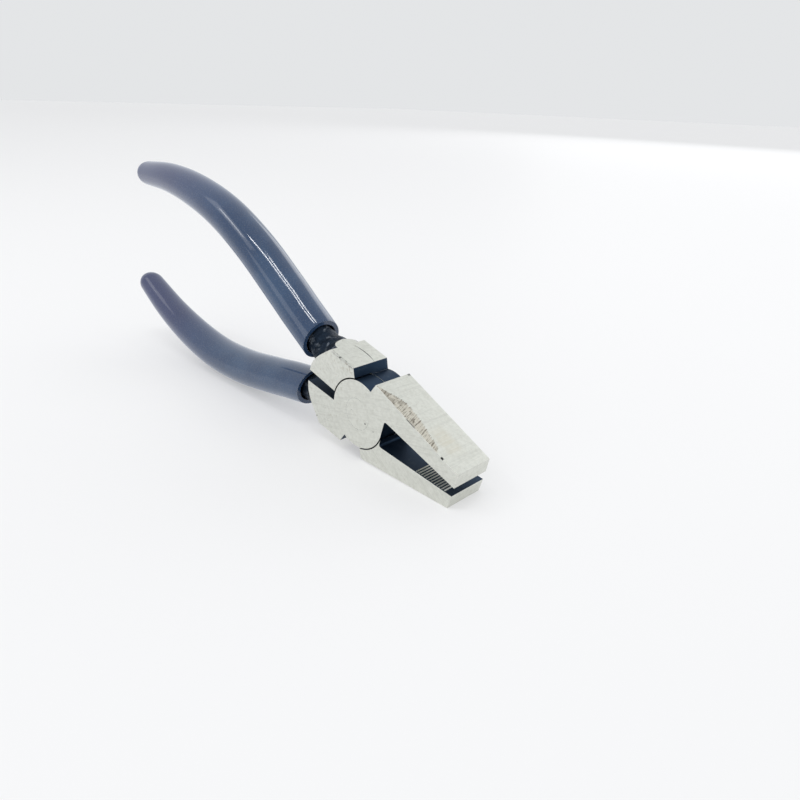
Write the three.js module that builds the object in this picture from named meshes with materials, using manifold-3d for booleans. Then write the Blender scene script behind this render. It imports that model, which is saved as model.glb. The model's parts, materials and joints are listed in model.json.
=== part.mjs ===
// Grozing pliers: two equal steel levers in a lap joint, one of them turned over, on a flush rivet,
// with a dipped vinyl grip on each handle. The tool stands on edge: on its lower grip and lower jaw.
// Millimetres. +X runs towards the jaw tips, +Y along the pivot from front to back, +Z up.
import * as THREE from "three";
import { mergeVertices } from "three/addons/utils/BufferGeometryUtils.js";
import Module from "manifold-3d";

const wasm = await Module();
wasm.setup();

// ---- Driving dimensions. Outlines are given for the front lever with the jaws shut, pivot at 0, 0.

// Opening
const restOpening = 4.2; // degrees between the levers, jaws shut to rest

// Lap joint
const headThickness = 12.7; // between the two side faces
const discRadius = 10.15;
const lapGap = 0.16; // between the faces of the two discs
const socketGap = 0.4; // from a disc's rim to the other lever

// Rivet
const rivetShankRadius = 3.3;
const rivetHeadRadius = 4.7; // flush, where it meets the side face
const rivetHeadDepth = 1.5;
const rivetGap = 0.08; // all round, in both levers

// Jaw
const jawReach = 37.2; // pivot to tip
const tipHeight = 4.2; // of one jaw at its tip
const heelHeight = 12.5; // centreline to the outer face at the heel
const heelOffset = 5.1; // pivot to the heel's outer corner, along X
const heelFootAngle = 69; // degrees, where the heel meets the disc
const throatRelief = 8.4; // degrees, from the centreline to the jaw's inner face
const throatWall = 0.25; // disc rim to the throat's end wall
const throatFillet = 1.1;
const throatFootAngle = -9; // degrees, where the throat's end wall meets the disc

// Block behind the joint
const blockReach = 22.2; // pivot to its rear corner, along X
const blockHeight = 12.4; // centreline to its outer face
const blockRearOffset = 15.2; // pivot to the rear end of the outer face, along X
const blockRearBulge = 5.2; // how far below the centreline its rear end stays upright
const blockRearSlant = [2.2, 7.4]; // in from its rear corner and down, where the rear end turns to slant
const stepOffset = 5.1; // pivot to the front end of the outer face, along X
const stepFootAngle = 248.5; // degrees, where the step meets the disc
const blockGap = 1.1; // centreline to the inner face of each block

// Handle: the centreline's drop below the tool's centreline, at even steps from the end of the neck
const neckShowing = 4.3; // from the block's rear corner to the grip's open end
const neckInGrip = 1.6; // how far the neck runs on inside the grip
const handleReach = 107; // end of the neck to the end of the centreline, along X
const handleDrops = [8.0, 14.4, 20.3, 23.8, 24.1, 21.9, 17.2];
const neckStart = [10.2, -5.8]; // inside the block: in front of its rear corner, and down
const neckMiddle = [2.2, -6.2];
const neckRadii = [6.3, 6.2, 5.3, 4.7, 4.4]; // even steps from neckStart to the end of the neck
const neckInset = 0.25; // from the head's side faces to the neck's

// Grip
const gripHalfWidths = [6.0, 6.4, 6.25, 4.4]; // control values from the neck to the far end
const gripDepthRatio = 1.11; // its size along the pivot against its width
const gripCap = 3.4; // length of the rounded far end
const gripWall = 1.3;
const gripGap = 0.35; // to the tang inside
const tangShortfall = 9; // from the tang's tip to the end of the centreline
const tangTip = 2; // length of the tang's rounded tip
const boreEndGap = 2.4; // from the tang's tip to the end of the grip's bore

// Facets
const discSegments = 80;
const rivetSegments = 40;
const gripSides = 24;
const tangSides = 20;
const gripSteps = 15;
const capSteps = 4;

const cutterSize = 400; // of a cutting block, larger than the tool

const radians = THREE.MathUtils.degToRad;

// ---- Materials

const groundSteel = new THREE.MeshStandardMaterial({ color: 0xc9cac2, roughness: 0.38, metalness: 0.9 });
const rivetSteel = new THREE.MeshStandardMaterial({ color: 0xbfc0b9, roughness: 0.42, metalness: 0.9 });
const vinyl = new THREE.MeshStandardMaterial({ color: 0x5f6c86, roughness: 0.3, metalness: 0 });

// ---- Helpers

// A closed geometry as a manifold solid.
function solidOf(geometry) {
  const bare = geometry.index ? geometry.toNonIndexed() : geometry.clone();
  bare.deleteAttribute("normal");
  bare.deleteAttribute("uv");
  const merged = mergeVertices(bare, 1e-4);
  const vertProperties = new Float32Array(merged.attributes.position.array);
  const triVerts = new Uint32Array(merged.index.array);
  return new wasm.Manifold(new wasm.Mesh({ numProp: 3, vertProperties, triVerts }));
}

// A manifold solid as a named mesh.
function meshOf(name, solid, material) {
  const { vertProperties, triVerts } = solid.getMesh();
  const geometry = new THREE.BufferGeometry();
  geometry.setAttribute("position", new THREE.BufferAttribute(new Float32Array(vertProperties), 3));
  geometry.setIndex(new THREE.BufferAttribute(new Uint32Array(triVerts), 1));
  geometry.computeVertexNormals();
  const mesh = new THREE.Mesh(geometry, material);
  mesh.name = name;
  return mesh;
}

// A point at a distance and an angle from the pivot.
function polar(radius, degrees) {
  return new THREE.Vector2(radius * Math.cos(radians(degrees)), radius * Math.sin(radians(degrees)));
}

function rectangle(left, right, bottom, top) {
  return new THREE.Shape().moveTo(left, bottom).lineTo(right, bottom).lineTo(right, top).lineTo(left, top);
}

// An outline in X and Z, made solid from one depth to another along Y.
function prism(outline, yFront, yBack) {
  const geometry = new THREE.ExtrudeGeometry(outline, {
    depth: yBack - yFront,
    bevelEnabled: false,
    curveSegments: 10,
  });
  geometry.rotateX(Math.PI / 2);
  geometry.translate(0, yBack, 0);
  return solidOf(geometry);
}

// A profile of radius and depth, turned about the pivot axis.
function turned(profile, segments) {
  const geometry = new THREE.LatheGeometry(
    profile.map(([radius, depth]) => new THREE.Vector2(radius, depth)),
    segments,
  );
  return solidOf(geometry);
}

function discAt(radius, yFront, yBack, segments) {
  return turned([[0, yFront], [radius, yFront], [radius, yBack], [0, yBack]], segments);
}

// A point at a distance along a curve in the XZ plane, moved outwards from it by an offset.
function placeOn(curve, distance, offset) {
  const length = curve.getLength();
  const along = THREE.MathUtils.clamp(distance / length, 0, 1);
  const tangent = curve.getTangentAt(along);
  const outward = new THREE.Vector3(-tangent.z, 0, tangent.x);
  const place = curve.getPointAt(along);
  place.addScaledVector(tangent, distance - along * length);
  return place.addScaledVector(outward, offset);
}

// A turned profile of radius and distance, bent along a curve in the XZ plane and widened along Y.
function bent(profile, curve, sides, depthRatio) {
  const geometry = new THREE.LatheGeometry(
    profile.map(([radius, distance]) => new THREE.Vector2(radius, distance)),
    sides,
  );
  const position = geometry.attributes.position;
  for (let i = 0; i < position.count; i++) {
    const place = placeOn(curve, position.getY(i), position.getX(i));
    position.setXYZ(i, place.x, position.getZ(i) * depthRatio, place.z);
  }
  return solidOf(geometry);
}

// ---- Handle curves of the front lever

// The grip's open end is square to the tool's centreline, clear of the block. Both from the pivot.
const gripStart = blockReach + neckShowing;
const neckReach = gripStart + neckInGrip;

function curveThrough(points) {
  const places = points.map(([x, z]) => new THREE.Vector3(x, 0, z));
  const curve = new THREE.CatmullRomCurve3(places, false, "centripetal");
  curve.arcLengthDivisions = 800;
  return curve;
}

const handleStep = handleReach / (handleDrops.length - 1);
const handlePoints = handleDrops.map((drop, i) => [-neckReach - i * handleStep, -drop]);
const neckPoints = [neckStart, neckMiddle].map(([x, z]) => [x - blockReach, z]);
const handleCurve = curveThrough([...neckPoints, ...handlePoints]);
const handleLength = handleCurve.getLength();
const neckLength = curveThrough([...neckPoints, handlePoints[0]]).getLength();
const gripLength = handleLength - neckLength;
const widthCurve = new THREE.CubicBezierCurve(
  ...gripHalfWidths.map((halfWidth, i) => new THREE.Vector2((gripLength * i) / 3, halfWidth)),
);

// Half the grip's width at a distance from the end of the neck.
function gripHalfWidth(distance) {
  return widthCurve.getPoint(THREE.MathUtils.clamp(distance / gripLength, 0, 1)).y;
}

// ---- Pieces

// Countersunk both ends; grow is the clearance round it and past is how far it runs out of the faces.
function rivetProfile(grow, past) {
  const face = headThickness / 2;
  const shank = rivetShankRadius + grow;
  const head = rivetHeadRadius + grow;
  const neck = face - rivetHeadDepth;
  return [
    [0, -face - past],
    [head, -face - past],
    ...(past ? [[head, -face]] : []),
    [shank, -neck],
    [shank, neck],
    ...(past ? [[head, face]] : []),
    [head, face + past],
    [0, face + past],
  ];
}

function jawOutline() {
  const heelFoot = polar(discRadius, heelFootAngle);
  const throatFoot = polar(discRadius, throatFootAngle);
  const throatX = discRadius + throatWall;
  const slope = Math.tan(radians(throatRelief));
  const throatTop = (jawReach - throatX) * slope;
  return new THREE.Shape()
    .moveTo(0, 0)
    .lineTo(throatFoot.x, throatFoot.y)
    .lineTo(throatX, throatTop - throatFillet)
    .quadraticCurveTo(throatX, throatTop, throatX + throatFillet, throatTop - throatFillet * slope)
    .lineTo(jawReach, 0)
    .lineTo(jawReach, tipHeight)
    .lineTo(heelOffset, heelHeight)
    .lineTo(heelFoot.x, heelFoot.y);
}

function blockOutline() {
  const stepFoot = polar(discRadius, stepFootAngle);
  const [slantIn, slantDown] = blockRearSlant;
  return new THREE.Shape()
    .moveTo(0, 0)
    .lineTo(stepFoot.x, stepFoot.y)
    .lineTo(-stepOffset, -blockHeight)
    .lineTo(-blockRearOffset, -blockHeight)
    .bezierCurveTo(
      -blockReach + slantIn, -slantDown,
      -blockReach, -blockRearBulge,
      -blockReach, -blockGap,
    )
    .lineTo(-Math.sqrt(discRadius ** 2 - blockGap ** 2), -blockGap);
}

// The tang's radius at a distance from the end of the neck: flared in the neck, inside the wall beyond it.
function tangRadius(distance) {
  if (distance >= 0) {
    return Math.min(neckRadii.at(-1), gripHalfWidth(distance) - gripWall - gripGap);
  }
  const steps = neckRadii.length - 1;
  const place = Math.max(0, (1 + distance / neckLength) * steps);
  const before = Math.min(Math.floor(place), steps - 1);
  return THREE.MathUtils.lerp(neckRadii[before], neckRadii[before + 1], place - before);
}

// A rounded end for a turned profile, from its last radius to the axis.
function roundedEnd(radius, start, length) {
  const points = [];
  for (let i = 1; i < capSteps; i++) {
    const turn = (Math.PI / 2) * (i / capSteps);
    points.push([radius * Math.cos(turn), start + length * Math.sin(turn)]);
  }
  return [...points, [0, start + length]];
}

// The forged tang: it flares into the block and runs inside the grip to a rounded tip. It stays
// within the head's side faces and out of the gap between the two blocks.
function tangSolid() {
  const profile = [[0, 0]];
  for (let i = 0; i < neckRadii.length - 1; i++) {
    profile.push([neckRadii[i], (neckLength * i) / (neckRadii.length - 1)]);
  }
  const buried = gripLength - tangShortfall;
  for (let i = 0; i <= gripSteps; i++) {
    const distance = (buried * i) / gripSteps;
    profile.push([tangRadius(distance), neckLength + distance]);
  }
  profile.push(...roundedEnd(tangRadius(buried), neckLength + buried, tangTip));
  const side = headThickness / 2 - neckInset;
  const room = prism(rectangle(-cutterSize, 0, -cutterSize, -blockGap), -side, side);
  return bent(profile, handleCurve, tangSides, 1).intersect(room);
}

function leverSolid() {
  const face = headThickness / 2;
  const past = 1;
  const jaw = prism(jawOutline(), -face, face);
  const block = prism(blockOutline(), -face, face);
  const socket = discAt(discRadius + socketGap, -lapGap / 2, face + past, discSegments);
  const disc = discAt(discRadius, -face, -lapGap / 2, discSegments);
  const bore = turned(rivetProfile(rivetGap, past), rivetSegments);
  return jaw.add(block).add(tangSolid()).subtract(socket).add(disc).subtract(bore);
}

// The grip's inner radius at a distance from the end of the neck.
function boreRadius(distance) {
  return Math.max(gripHalfWidth(distance) - gripWall, tangRadius(distance) + gripGap);
}

// A sleeve with a blind bore and a rounded far end. It starts long, and its open end is cut off square.
function gripSolid() {
  const first = gripStart - neckReach - gripHalfWidths[0];
  const boreEnd = gripLength - tangShortfall + tangTip + boreEndGap;
  const inside = [];
  const outside = [];
  for (let i = 0; i <= gripSteps; i++) {
    const inner = THREE.MathUtils.lerp(first, boreEnd, i / gripSteps);
    const outer = THREE.MathUtils.lerp(first, gripLength, i / gripSteps);
    inside.unshift([boreRadius(inner), neckLength + inner]);
    outside.push([gripHalfWidth(outer), neckLength + outer]);
  }
  outside.push(...roundedEnd(gripHalfWidth(gripLength), handleLength, gripCap));
  const profile = [[0, neckLength + boreEnd], ...inside, ...outside];
  const surplus = prism(rectangle(-gripStart, cutterSize, -cutterSize, cutterSize), -cutterSize, cutterSize);
  return bent(profile, handleCurve, gripSides, gripDepthRatio).subtract(surplus);
}

// ---- Assembly

const lever = leverSolid();
const grip = gripSolid();

const frontHalf = new THREE.Group();
frontHalf.add(meshOf("upper_jaw_half", lever, groundSteel));
frontHalf.add(meshOf("lower_grip", grip, vinyl));
frontHalf.add(meshOf("pivot_rivet", turned(rivetProfile(0, 0), rivetSegments), rivetSteel));
frontHalf.rotation.y = -radians(restOpening / 2);

const turnedOver = new THREE.Group();
turnedOver.add(meshOf("lower_jaw_half", lever, groundSteel));
turnedOver.add(meshOf("upper_grip", grip, vinyl));
turnedOver.rotation.x = Math.PI;

const rearHalf = new THREE.Group();
rearHalf.add(turnedOver);
rearHalf.rotation.y = radians(restOpening / 2);

// The lean at which both the lower jaw and the lower grip touch the surface that the tool stands on.
function standingLean() {
  const centre = new THREE.Vector2();
  const jaw = [[jawReach, -tipHeight], [heelOffset, -heelHeight]].map(([x, z]) => {
    return new THREE.Vector2(x, z).rotateAround(centre, -radians(restOpening / 2));
  });
  const samples = 200;
  const leans = [];
  for (let i = 0; i <= samples; i++) {
    const distance = (gripLength * i) / samples;
    const place = placeOn(handleCurve, neckLength + distance, gripHalfWidth(distance));
    const belly = new THREE.Vector2(place.x, place.z).rotateAround(centre, radians(restOpening / 2));
    leans.push(Math.min(...jaw.map((corner) => Math.atan2(corner.y - belly.y, corner.x - belly.x))));
  }
  return Math.max(...leans);
}

const tool = new THREE.Group();
tool.add(frontHalf, rearHalf);
tool.rotation.y = standingLean();

// The origin is the middle of the footprint, on the surface that the tool stands on.
const box = new THREE.Box3().setFromObject(tool, true);
const middle = box.getCenter(new THREE.Vector3());
tool.position.set(-middle.x, -middle.y, -box.min.z);

export default tool;
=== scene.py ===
import bmesh
import bpy
import json
import math
from mathutils import Matrix, Vector, noise


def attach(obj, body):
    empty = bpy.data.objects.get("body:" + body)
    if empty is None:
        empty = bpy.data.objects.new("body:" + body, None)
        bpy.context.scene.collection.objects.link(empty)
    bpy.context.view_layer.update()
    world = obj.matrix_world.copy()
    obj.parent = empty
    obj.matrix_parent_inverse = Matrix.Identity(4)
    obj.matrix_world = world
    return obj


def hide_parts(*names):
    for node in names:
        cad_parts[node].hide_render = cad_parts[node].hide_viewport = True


# Grozing pliers: two equal levers, a flush rivet and two dipped grips.
# Sizes are millimetres in a lever's own frame: the pivot at 0, 0, jaws shut, +X to the tips, +Z up.

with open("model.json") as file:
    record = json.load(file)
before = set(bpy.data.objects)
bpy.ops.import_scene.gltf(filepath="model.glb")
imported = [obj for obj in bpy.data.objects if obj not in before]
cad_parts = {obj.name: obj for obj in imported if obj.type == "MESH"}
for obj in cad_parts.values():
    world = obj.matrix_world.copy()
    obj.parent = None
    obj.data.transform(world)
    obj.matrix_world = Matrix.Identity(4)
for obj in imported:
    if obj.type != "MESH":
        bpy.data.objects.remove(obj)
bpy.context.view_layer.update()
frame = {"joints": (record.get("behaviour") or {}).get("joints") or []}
scene = bpy.context.scene
pivotAt = Vector(next(j for j in frame["joints"] if j["name"] == "pivot")["pos_m"])

stance = {
    "lean": 13.3264,      # degrees that the tool leans, resting on a jaw and a grip
    "opening": 4.2,       # degrees between the levers at rest
}
leverOf = {"front": "front_lever", "rear": "rear_lever"}


def leverTurn(name):
    half = stance["opening"] / 2
    return math.radians(stance["lean"] + (half if name == "rear" else -half))


def leverMatrix(name):  # from a lever's millimetres to the row frame
    over = Matrix.Rotation(math.pi if name == "rear" else 0, 4, "X")
    return Matrix.Translation(pivotAt) @ Matrix.Rotation(leverTurn(name), 4, "Y") @ over @ Matrix.Scale(0.001, 4)


# Small helpers
def addNode(tree, kind, settings=None, inputs=None):
    node = tree.nodes.new(kind)
    for key, value in (settings or {}).items():
        setattr(node, key, value)
    for key, value in (inputs or {}).items():
        feed(tree, node.inputs[key], value)
    return node


def feed(tree, socket, value):  # a link from another node's output, or a fixed value
    if isinstance(value, bpy.types.NodeSocket):
        tree.links.new(value, socket)
    else:
        socket.default_value = value


def calc(tree, operation, *values, clamp=False):
    settings = {"operation": operation, "use_clamp": clamp}
    return addNode(tree, "ShaderNodeMath", settings, dict(enumerate(values))).outputs[0]


def times(tree, *values):
    result = values[0]
    for value in values[1:]:
        result = calc(tree, "MULTIPLY", result, value)
    return result


def most(tree, *values):
    result = values[0]
    for value in values[1:]:
        result = calc(tree, "MAXIMUM", result, value)
    return result


def vectorCalc(tree, operation, first, second):
    other = "Scale" if operation == "SCALE" else 1
    node = addNode(tree, "ShaderNodeVectorMath", {"operation": operation}, {0: first, other: second})
    return node.outputs["Value" if operation == "DOT_PRODUCT" else "Vector"]


def joined(tree, x, y, z):
    return addNode(tree, "ShaderNodeCombineXYZ", inputs={"X": x, "Y": y, "Z": z}).outputs[0]


def noiseAt(tree, place, scale, detail, roughness=0.5, distortion=0.0):
    return addNode(tree, "ShaderNodeTexNoise", inputs={
        "Vector": place, "Scale": scale, "Detail": detail, "Roughness": roughness,
        "Distortion": distortion}).outputs[0]


def ramp(tree, value, low, high, lowOut=0.0, highOut=1.0):
    items = (value, low, high, lowOut, highOut)
    return addNode(tree, "ShaderNodeMapRange", {"interpolation_type": "SMOOTHSTEP"}, dict(enumerate(items))).outputs[0]


def within(tree, value, low, high, soft):  # 1 between low and high
    return times(tree, ramp(tree, value, low - soft, low), ramp(tree, value, high, high + soft, 1.0, 0.0))


def mixColour(tree, share, first, second):
    first, second = (item if isinstance(item, bpy.types.NodeSocket) else (*item, 1.0) for item in (first, second))
    return addNode(tree, "ShaderNodeMix", {"data_type": "RGBA"}, {0: share, 6: first, 7: second}).outputs[2]


def newMesh(name, bm):
    mesh = bpy.data.meshes.new(name)
    bm.to_mesh(mesh)
    bm.free()
    return mesh


def newObject(name, mesh):
    item = bpy.data.objects.new(name, mesh)
    scene.collection.objects.link(item)
    return item


def baked(item, name):  # the evaluated object as a plain mesh object; the source object goes
    bpy.context.view_layer.update()
    graph = bpy.context.evaluated_depsgraph_get()
    mesh = bpy.data.meshes.new_from_object(item.evaluated_get(graph), preserve_all_data_layers=True, depsgraph=graph)
    mesh.name = name
    bpy.data.objects.remove(item)
    return newObject(name, mesh)


def combine(target, other, operation):
    cutter = target.modifiers.new(operation.lower(), "BOOLEAN")
    cutter.operation, cutter.object, cutter.solver = operation, other, "EXACT"
    result = baked(target, target.name)
    bpy.data.objects.remove(other)
    return result


# Shader groups: effects that more than one finish uses
def newGroup(name, inputs, output):
    tree = bpy.data.node_groups.new(name, "ShaderNodeTree")
    kinds = {"float": "NodeSocketFloat", "vector": "NodeSocketVector"}
    for label, kind in inputs:
        tree.interface.new_socket(label, in_out="INPUT", socket_type=kinds[kind])
    tree.interface.new_socket(output, in_out="OUTPUT", socket_type=kinds["float"])
    return tree, tree.nodes.new("NodeGroupInput").outputs, tree.nodes.new("NodeGroupOutput").inputs


def grindLinesGroup():  # long fine scratches along X of the vector given
    tree, given, out = newGroup("grindLines", [("Place", "vector"), ("Spacing", "float"),
                                               ("Stretch", "float")], "Height")
    stretched = vectorCalc(tree, "MULTIPLY", given["Place"],
                           joined(tree, calc(tree, "DIVIDE", 1.0, given["Stretch"]), 1.0, 1.0))
    scale = calc(tree, "DIVIDE", 1.0, given["Spacing"])
    fine = noiseAt(tree, stretched, scale, 5.0, 0.7)
    coarse = noiseAt(tree, stretched, times(tree, scale, 0.27), 2.0)
    tree.links.new(calc(tree, "ADD", times(tree, fine, 0.6), times(tree, coarse, 0.4)), out["Height"])
    return tree


def blotchGroup():  # patches of stain or scale with ragged edges
    tree, given, out = newGroup("blotches", [("Place", "vector"), ("Size", "float"), ("Cover", "float")], "Mask")
    cloud = noiseAt(tree, given["Place"], calc(tree, "DIVIDE", 1.0, given["Size"]), 6.0, 0.62, 0.4)
    edge = calc(tree, "SUBTRACT", 0.75, times(tree, given["Cover"], 0.5))
    tree.links.new(ramp(tree, cloud, edge, calc(tree, "ADD", edge, 0.09)), out["Mask"])
    return tree


def pitGroup():  # sparse round pits
    tree, given, out = newGroup("pits", [("Place", "vector"), ("Pitch", "float"), ("Radius", "float"),
                                         ("Share", "float")], "Mask")
    cells = addNode(tree, "ShaderNodeTexVoronoi", {"feature": "F1"}, {
        "Vector": given["Place"], "Scale": calc(tree, "DIVIDE", 1.0, given["Pitch"]), "Randomness": 1.0})
    away = times(tree, cells.outputs["Distance"], given["Pitch"])
    spot = ramp(tree, away, times(tree, given["Radius"], 0.55), given["Radius"], 1.0, 0.0)
    pick = addNode(tree, "ShaderNodeSeparateColor", inputs={0: cells.outputs["Color"]})
    chosen = calc(tree, "LESS_THAN", pick.outputs[0], given["Share"])
    tree.links.new(times(tree, spot, chosen), out["Mask"])
    return tree


grindLines, blotches, pits = grindLinesGroup(), blotchGroup(), pitGroup()


def useGroup(tree, group, place, **sizes):
    return addNode(tree, "ShaderNodeGroup", {"node_tree": group}, {"Place": place, **sizes}).outputs[0]


# The head's sizes, which the finishes use too
head = {
    "thick": 12.7,
    "discRadius": 10.15,
    "lapGap": 0.16,
    "socketGap": 0.4,
    "arcStep": 2.5,          # degrees
    "edge": 0.13,            # width of the broken edges
    "rivetGap": 0.03,
    "sharp": 24, "flat": 0.6,    # degrees: a broken edge is sharper, and merged faces are flatter
    "weld": 0.002,
}
jaw = {
    "reach": 37.2, "tip": 4.2,
    "heelHeight": 12.5, "heelOffset": 5.1, "heelFoot": 69,
    "relief": 8.4,           # degrees, of the inner face
    "throatWall": 0.25, "throatFillet": 1.1, "throatFoot": -9,
}
block = {
    "reach": 22.2, "height": 12.4, "rearOffset": 15.2, "rearBulge": 5.2, "rearSlant": (2.2, 7.4),
    "stepOffset": 5.1, "stepFoot": 248.5, "gap": 1.1,
}


# Finishes
def newFinish(name):
    material = bpy.data.materials.new(name)
    material.use_nodes = True
    tree = material.node_tree
    tree.nodes.clear()
    out = tree.nodes.new("ShaderNodeOutputMaterial")
    shader = tree.nodes.new("ShaderNodeBsdfPrincipled")
    tree.links.new(shader.outputs[0], out.inputs[0])
    return material, tree, shader


def ownPlace(tree, lever):  # millimetres in the lever's own frame
    where = addNode(tree, "ShaderNodeTexCoord")
    turned = addNode(tree, "ShaderNodeMapping", {"vector_type": "TEXTURE"}, {
        "Vector": where.outputs["Object"], "Location": pivotAt,
        "Rotation": (math.pi if lever == "rear" else 0, leverTurn(lever), 0), "Scale": (0.001, 0.001, 0.001)})
    parts = addNode(tree, "ShaderNodeSeparateXYZ", inputs={0: turned.outputs[0]})
    return turned.outputs[0], parts.outputs["X"], parts.outputs["Y"], parts.outputs["Z"]


def applyFinish(tree, shader, colour, roughness, metallic, height, depth):  # the depth is metres
    bump = addNode(tree, "ShaderNodeBump", inputs={"Height": height, "Distance": depth, "Strength": 1.0})
    values = {"Base Color": colour, "Roughness": roughness, "Metallic": metallic, "Normal": bump.outputs[0]}
    for label, value in values.items():
        feed(tree, shader.inputs[label], value)


def wornEdges(tree):  # 1 on the broken edges
    return addNode(tree, "ShaderNodeAttribute", {"attribute_name": "worn"}).outputs["Fac"]


ground = {
    "colour": (0.735, 0.745, 0.69), "shade": (0.655, 0.665, 0.61), "line": (0.56, 0.565, 0.52),
    "stain": (0.36, 0.31, 0.22), "edge": (0.90, 0.91, 0.88), "dirt": (0.02, 0.022, 0.026),
    "roughness": 0.29,
    "lineSpacing": 0.28, "lineDepth": 0.000006,   # the depth in metres
    "sideAngle": 24, "sideStretch": 18.0,         # the lines on the side faces, in degrees
    "outerSpacing": 1.4, "outerStretch": 30.0,    # the lines on the outer faces, wider by this much
    "lineShare": 0.45, "wear": 0.7,
    "cloud": 0.9, "stainSize": 0.9, "stainCover": 0.36,
    "stainBack": 0.34, "stainFront": 0.15,        # more on the blocks than on the jaws
    "pitch": 2.6, "pit": 0.13, "pitShare": 0.09,
    "dirtDepth": 12.0,                            # in heights of a line
}
band = {                     # the coarse grinding on the front edge of the upper jaw, from heel to tip
    "length": 28.0, "width": 4.0,
    "shape": ((0.0, 0.04), (0.05, 0.2), (0.12, 0.42), (0.2, 0.7), (0.36, 0.98), (0.53, 0.88), (0.72, 0.6),
              (0.86, 0.36), (0.93, 0.0), (1.0, 0.0)),
    "tint": (0.54, 0.495, 0.41), "line": (0.085, 0.066, 0.046), "warm": (0.66, 0.62, 0.50),
    "spacing": 0.40, "slant": 0.32, "ragged": 2.4, "depth": 6.0,
    "smudgeSize": 1.6, "smudgeCover": 0.62, "tintShare": 0.62, "lineShare": 0.75, "warmShare": 0.5,
    "edgeMark": (13.4, 16.0), "chip": (27.0, 27.5), "smudged": (1.5, 8.0),    # from the heel
    "warmLength": (21.0, 25.5), "warmWidth": (4.0, 6.5),
}
sidePits = (                 # x, z and radius of each
    (3.64, -1.12, 0.30), (7.12, -1.66, 0.17), (-16.5, -10.4, 0.22), (-12.8, -9.5, 0.12), (-14.3, -6.1, 0.12),
)
crack = {                    # on the outer face of the upper block
    "y": -2.2, "bend": 0.034, "middle": -9.8, "reach": 4.6, "halfWidth": 0.15, "thin": 0.03, "half": 4.4,
}
grime = {"from": -14.3, "to": -5.3, "edge": (0.25, 0.75), "below": (1.2, 5.0), "share": 0.85, "mottle": 0.4,
         "size": 0.9, "cover": 0.5, "mottleSize": 1.3, "mottleCover": 0.45}


def pitAt(tree, x, z, spot):
    dx, dz = calc(tree, "SUBTRACT", x, spot[0]), calc(tree, "SUBTRACT", z, spot[1])
    away = calc(tree, "SQRT", calc(tree, "ADD", times(tree, dx, dx), times(tree, dz, dz)))
    return ramp(tree, away, spot[2] * 0.6, spot[2], 1.0, 0.0)


def outerFacePlace(tree, x, y, z):  # along the jaw's outer face from the heel, off that face, and in from the front
    slope = math.atan2(jaw["heelHeight"] - jaw["tip"], jaw["reach"] - jaw["heelOffset"])
    dx, dz = calc(tree, "SUBTRACT", x, jaw["heelOffset"]), calc(tree, "SUBTRACT", z, jaw["heelHeight"])
    along = calc(tree, "SUBTRACT", times(tree, dx, math.cos(slope)), times(tree, dz, math.sin(slope)))
    off = calc(tree, "ADD", times(tree, dx, math.sin(slope)), times(tree, dz, math.cos(slope)))
    return along, calc(tree, "ABSOLUTE", off), calc(tree, "ADD", y, head["thick"] / 2)


def bandWidth(tree, along):  # share of the full width
    curve = addNode(tree, "ShaderNodeFloatCurve", inputs={"Value": calc(tree, "DIVIDE", along, band["length"])})
    points = curve.mapping.curves[0].points
    while len(points) < len(band["shape"]):
        points.new(0.5, 0.5)
    for point, spot in zip(points, band["shape"]):
        point.location = spot
    curve.mapping.update()
    return curve.outputs[0]


def jawBand(tree, place, x, y, z):  # masks of the coarse band, its dark lines, the edge's dirt and a warm patch
    along, off, inward = outerFacePlace(tree, x, y, z)
    onFace = times(tree, ramp(tree, off, 0.05, 0.12, 1.0, 0.0), ramp(tree, inward, 0.01, 0.08))
    share = bandWidth(tree, along)
    slanted = calc(tree, "ADD", along, times(tree, inward, band["slant"]))
    lines = noiseAt(tree, joined(tree, slanted, times(tree, inward, 0.12), 0.0), 1 / band["spacing"], 2.0, 0.6)
    ragged = times(tree, calc(tree, "SUBTRACT", lines, 0.5), band["ragged"])
    width = calc(tree, "ADD", times(tree, share, band["width"]), times(tree, ragged, share))
    inside = times(tree, ramp(tree, calc(tree, "SUBTRACT", width, inward), -0.1, 0.25), onFace,
                   ramp(tree, share, 0.01, 0.06))
    smudge = useGroup(tree, blotches, place, Size=band["smudgeSize"], Cover=band["smudgeCover"])
    dark = times(tree, ramp(tree, lines, 0.5, 0.58), inside, calc(tree, "ADD", 0.45, times(tree, smudge, 0.55)))
    nearHeel = times(tree, within(tree, along, *band["smudged"], 1.5), smudge)
    dark = most(tree, dark, times(tree, nearHeel, inside, 0.5))
    toEdge = calc(tree, "ADD", inward, off)
    edgeMark = times(tree, within(tree, along, *band["edgeMark"], 0.8), ramp(tree, toEdge, 0.12, 0.3, 0.65, 0.0))
    chip = times(tree, within(tree, along, *band["chip"], 0.35), ramp(tree, toEdge, 0.25, 0.5, 1.0, 0.0))
    toHeel = calc(tree, "ADD", calc(tree, "ABSOLUTE", along), off)
    corner = times(tree, ramp(tree, toHeel, 0.4, 1.0, 0.7, 0.0),
                   ramp(tree, inward, head["thick"] - 1.2, head["thick"] - 0.7))
    warmth = times(tree, within(tree, along, *band["warmLength"], 4.0),
                   within(tree, inward, *band["warmWidth"], 2.5), onFace)
    return inside, dark, most(tree, edgeMark, chip, corner), warmth


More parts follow.
